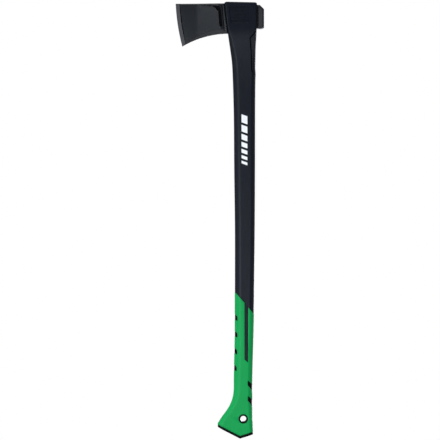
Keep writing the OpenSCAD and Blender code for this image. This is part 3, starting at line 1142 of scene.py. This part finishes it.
def build_grip(material):
    """Rubber shell with windows, which stands a little proud along its edges' inner side."""
    rim = [(0.0, -0.55), (0.16, -0.12), (0.42, 0.18), (0.8, GRIP_PROUD)]
    end_rim = [(0.0, -0.3), (0.5, 0.1), (0.9, GRIP_PROUD)]
    features = [Feature(path, rim, hole=True) for path in (GRIP_TOP, *WINDOWS)]
    ends = (hole_path(HOLE_RADIUS), butt_region(CAP_THICKNESS, -48))
    features += [Feature(path, end_rim, hole=True) for path in ends]

    def height(q):
        return np.min([f.height(q) for f in features], axis=0)

    low, high = CAP_LOW[2] - 2, GRIP_LINE[0][1] + 12
    piece = handle_sheet("rubber_grip", low, high, features, 2.8, height, wall=GRIP_WALL)
    return paint(piece, material)


def build_cap(material):
    """Hard cap along the whole butt, with rounded lower edges."""
    above = Feature(butt_region(CAP_THICKNESS - 0.05, 60), [(0.0, -0.35), (0.45, 0.0)], hole=True)
    below = Feature(butt_region(0.0, -60), [(0.0, -1.3), (0.35, -0.5), (1.2, 0.0)], hole=True)

    def height(q):
        return np.minimum(above.height(q), below.height(q)) + 0.15

    low, high = CAP_LOW[2] - 4, BUTT_LINE[0][1] + 14
    return paint(handle_sheet("butt_cap_moulding", low, high, [above, below], 1.6, height), material)


LINER_LIP = 1.1
LINER_PROUD = 0.45
LINER_EDGE = 0.6


def build_liner(material):
    """Ring with rounded lips, turned about the axis of the hang hole."""
    half = LINER_HIGH[1] + LINER_PROUD
    lip, edge = half - LINER_LIP, half - LINER_EDGE
    near = []
    for t in np.radians([0, 22, 45, 68, 90]):
        near.append((LINER_BORE + LINER_LIP * (1 - math.cos(t)), lip + LINER_LIP * math.sin(t)))
    for t in np.radians([0, 22, 45, 68, 90]):
        near.append((HOLE_RADIUS - LINER_EDGE * (1 - math.sin(t)), edge + LINER_EDGE * math.cos(t)))
    profile = near + [(r, -y) for r, y in reversed(near)]
    bm = bmesh.new()
    rings = []
    for a in np.linspace(0, 2 * math.pi, 96, endpoint=False):
        c, s = math.cos(a) * MM, math.sin(a) * MM
        rings.append([bm.verts.new((r * c, y * MM, r * s)) for r, y in profile])
    for one, two in zip(rings, rings[1:] + rings[:1]):
        for i in range(len(profile)):
            bm.faces.new([one[i - 1], one[i], two[i], two[i - 1]])
    return paint(finish_mesh("hang_hole_ring", bm), material)


# Printed graphic on the side of the shaft: plain slanted bars, shorter further down.
PRINT_SIDES = (-3.8, 8.6)
PRINT_LOW, PRINT_HIGH = 530.0, 639.0
PRINT_THICKNESS = 0.06
BAR_TALL = 17.0
BAR_SHRINK = 0.83
BAR_GAP = 5.0
BAR_SLANT = 4.5


def print_bars():
    """Outlines of the bars, from the top down."""
    left, right = PRINT_SIDES
    bars, z, tall = [], PRINT_HIGH, BAR_TALL
    while z - tall - BAR_SLANT > PRINT_LOW:
        foot = z - tall
        bars.append([(left, foot), (right, foot - BAR_SLANT), (right, z - BAR_SLANT), (left, z)])
        z = foot - BAR_GAP
        tall *= BAR_SHRINK
    return bars


def raised(x, z, lift):
    """Position lift above the side of the handle at (x, z)."""
    row, normals = at_level(SECTIONS, z), at_level(NORMALS, z)
    y = np.interp(x, row[:, 0], row[:, 1])
    nx, ny = (np.interp(x, row[:, 0], normals[:, k]) for k in (0, 1))
    return Vector((x + nx * lift, y + ny * lift, z)) * MM


def build_print(material):
    """Thin bars of ink that follow the side of the shaft."""
    bm = bmesh.new()
    for bar in print_bars():
        outline = spaced(rounded(bar, 0.8), 1.0)
        flat, faces = used_points(*fill_outline([outline], [], outline, 1.5, 0.6))
        over, under = (
            [bm.verts.new(raised(x, z, lift)) for x, z in flat]
            for lift in (PRINT_THICKNESS, -PRINT_THICKNESS)
        )
        for face in faces:
            bm.faces.new([over[i] for i in face])
            bm.faces.new([under[i] for i in reversed(face)])
        for a, b in open_edges(faces):
            bm.faces.new([over[a], over[b], under[b], under[a]])
    return paint(finish_mesh("printed_bars", bm), material)


# ---- Pieces ----

plastic = cap_plastic()
head = build_head(coated_steel(), ground_steel(), recess_shade_steel())
jacket = build_jacket(moulded_nylon(), window_shade_nylon())
grip = build_grip(soft_rubber())
cap = build_cap(plastic)
liner = build_liner(plastic)
bars = build_print(white_ink())

for piece, node, slot in (
    (head, "head", "coated_steel"),
    (jacket, "handle_jacket", "black_nylon"),
    (grip, "grip", "green_rubber"),
    (cap, "butt_cap", "black_cap"),
    (liner, "hang_hole_liner", "black_cap"),
):
    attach(piece, "root")
    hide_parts(node)
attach(bars, "root")

for node, material in (("core", glass_fibre()), ("eye_bedding", cured_epoxy())):
    for material_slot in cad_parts[node].material_slots:
        material_slot.material = material

# ---- Floor, light and camera, in metres ----

FLOOR_HALF = 40
FLOOR_GAP = 0.0005
FLOOR_GLOW = 0.6
FLOOR_BOUNCE = 0.6
BOUNCE_RADII = (0.4, 5.0)  # the bounce fades out between these distances from the maul
GRAZING = (0.62, 0.92)  # the floor fades to white between these shares of a grazing view
STUDIO_COLOUR = (0.85, 0.92, 1.0, 1)
LIGHT_COLOUR = (0.90, 0.95, 1.0)
SUN_STRENGTH = 1.6
VIEW_CENTRE = Vector((-0.0489, 0, 0.417))
VIEW_WIDTH = 0.924  # width of the picture at the middle plane of the maul
VIEW_DISTANCE = 10.0
SENSOR = 36.0

# Name, azimuth from the camera's side, height, distance, size and power.
SOFTBOXES = (
    ("front", -19, 0.22, 1.5, (0.7, 0.5), 13),
    ("left", -47, 0.5, 2.4, (0.3, 1.6), 19),
    ("left_rim", -72, 0.45, 2.2, (0.25, 1.8), 5),
    ("right_rim", 62, 0.45, 2.2, (0.25, 1.8), 3),
    ("left_side", -104, 0.5, 2.4, (0.8, 1.8), 4),
    ("right_side", 104, 0.5, 2.4, (0.8, 1.8), 6),
    ("back", 161, 0.22, 1.5, (0.7, 0.5), 13),
    ("back_side", 133, 0.5, 2.4, (0.3, 1.6), 19),
)


def add_floor():
    """Pale floor that fades to white far away. To other rays it only glows near the maul."""
    bm = bmesh.new()
    bmesh.ops.create_grid(bm, x_segments=8, y_segments=8, size=FLOOR_HALF)
    for vert in bm.verts:
        vert.co.z = CAD_BOX[0][2] - FLOOR_GAP
    material = bpy.data.materials.new("floor")
    n = Nodes(material)
    n.tree.nodes.clear()
    pale = n.add("BsdfDiffuse", {"Color": (0.8, 0.8, 0.8, 1)})
    glow = n.add("Emission", {"Strength": FLOOR_GLOW})
    lit = n.add("AddShader", {0: pale.outputs[0], 1: glow.outputs[0]})
    white = n.add("Emission", {"Strength": 1.0})
    facing = n.add("LayerWeight", {"Blend": 0.5}).outputs["Facing"]
    fade = n.ramp(facing, *GRAZING)
    seen = n.add("MixShader", {0: fade, 1: lit.outputs[0], 2: white.outputs[0]})
    place = n.add("TexCoord").outputs["Object"]
    away = n.add("VectorMath", {0: place}, operation="LENGTH").outputs["Value"]
    bounce = n.add("Emission", {"Strength": n.ramp(away, *BOUNCE_RADII, FLOOR_BOUNCE, 0.0)})
    n.show("OutputMaterial", seen, bounce)
    paint(finish_mesh("floor", bm), material)


def add_world():
    """White to the camera, and a dim studio to everything else, so that rims stay dark."""
    world = bpy.data.worlds.new("studio")
    bpy.context.scene.world = world
    n = Nodes(world)
    n.tree.nodes.clear()
    white = n.add("Background", {"Color": (1, 1, 1, 1), "Strength": 1.0})
    split = n.add("SeparateXYZ", {0: n.add("TexCoord").outputs["Generated"]})
    strength = n.ramp(split.outputs["Z"], 0.12, 0.45, 0.04, 0.3)
    dim = n.add("Background", {"Color": STUDIO_COLOUR, "Strength": strength})
    n.show("OutputWorld", white, dim)


def add_object(name, data):
    """New light or camera in the scene."""
    item = bpy.data.objects.new(name, data)
    bpy.context.scene.collection.objects.link(item)
    return item


def add_softbox(name, azimuth, height, distance, size, power):
    """Area light that faces the maul's middle line."""
    data = bpy.data.lights.new(name, "AREA")
    data.shape = "RECTANGLE"
    data.size, data.size_y = size
    data.energy = power
    data.color = LIGHT_COLOUR
    light = add_object(name, data)
    light.visible_camera = False
    a = math.radians(azimuth)
    light.location = (math.sin(a) * distance, -math.cos(a) * distance, height)
    light.rotation_euler = (light.location - VIEW_CENTRE).to_track_quat("Z", "Y").to_euler()


def add_sun():
    """Very soft light from above, which keeps the floor even."""
    data = bpy.data.lights.new("above", "SUN")
    data.energy = SUN_STRENGTH
    data.angle = math.radians(40)
    add_object("above", data).rotation_euler = (math.radians(12), math.radians(-10), 0)


def add_camera():
    """Camera that looks straight at the side of the maul from far away."""
    data = bpy.data.cameras.new("camera")
    data.sensor_width = SENSOR
    data.lens = SENSOR * VIEW_DISTANCE / VIEW_WIDTH
    data.clip_end = 100
    camera = add_object("camera", data)
    camera.location = VIEW_CENTRE + Vector((0, -VIEW_DISTANCE, 0))
    camera.rotation_euler = (math.pi / 2, 0, 0)
    bpy.context.scene.camera = camera


add_floor()
add_world()
for softbox in SOFTBOXES:
    add_softbox(*softbox)
add_sun()
add_camera()
bpy.context.scene.view_settings.view_transform = "Standard"
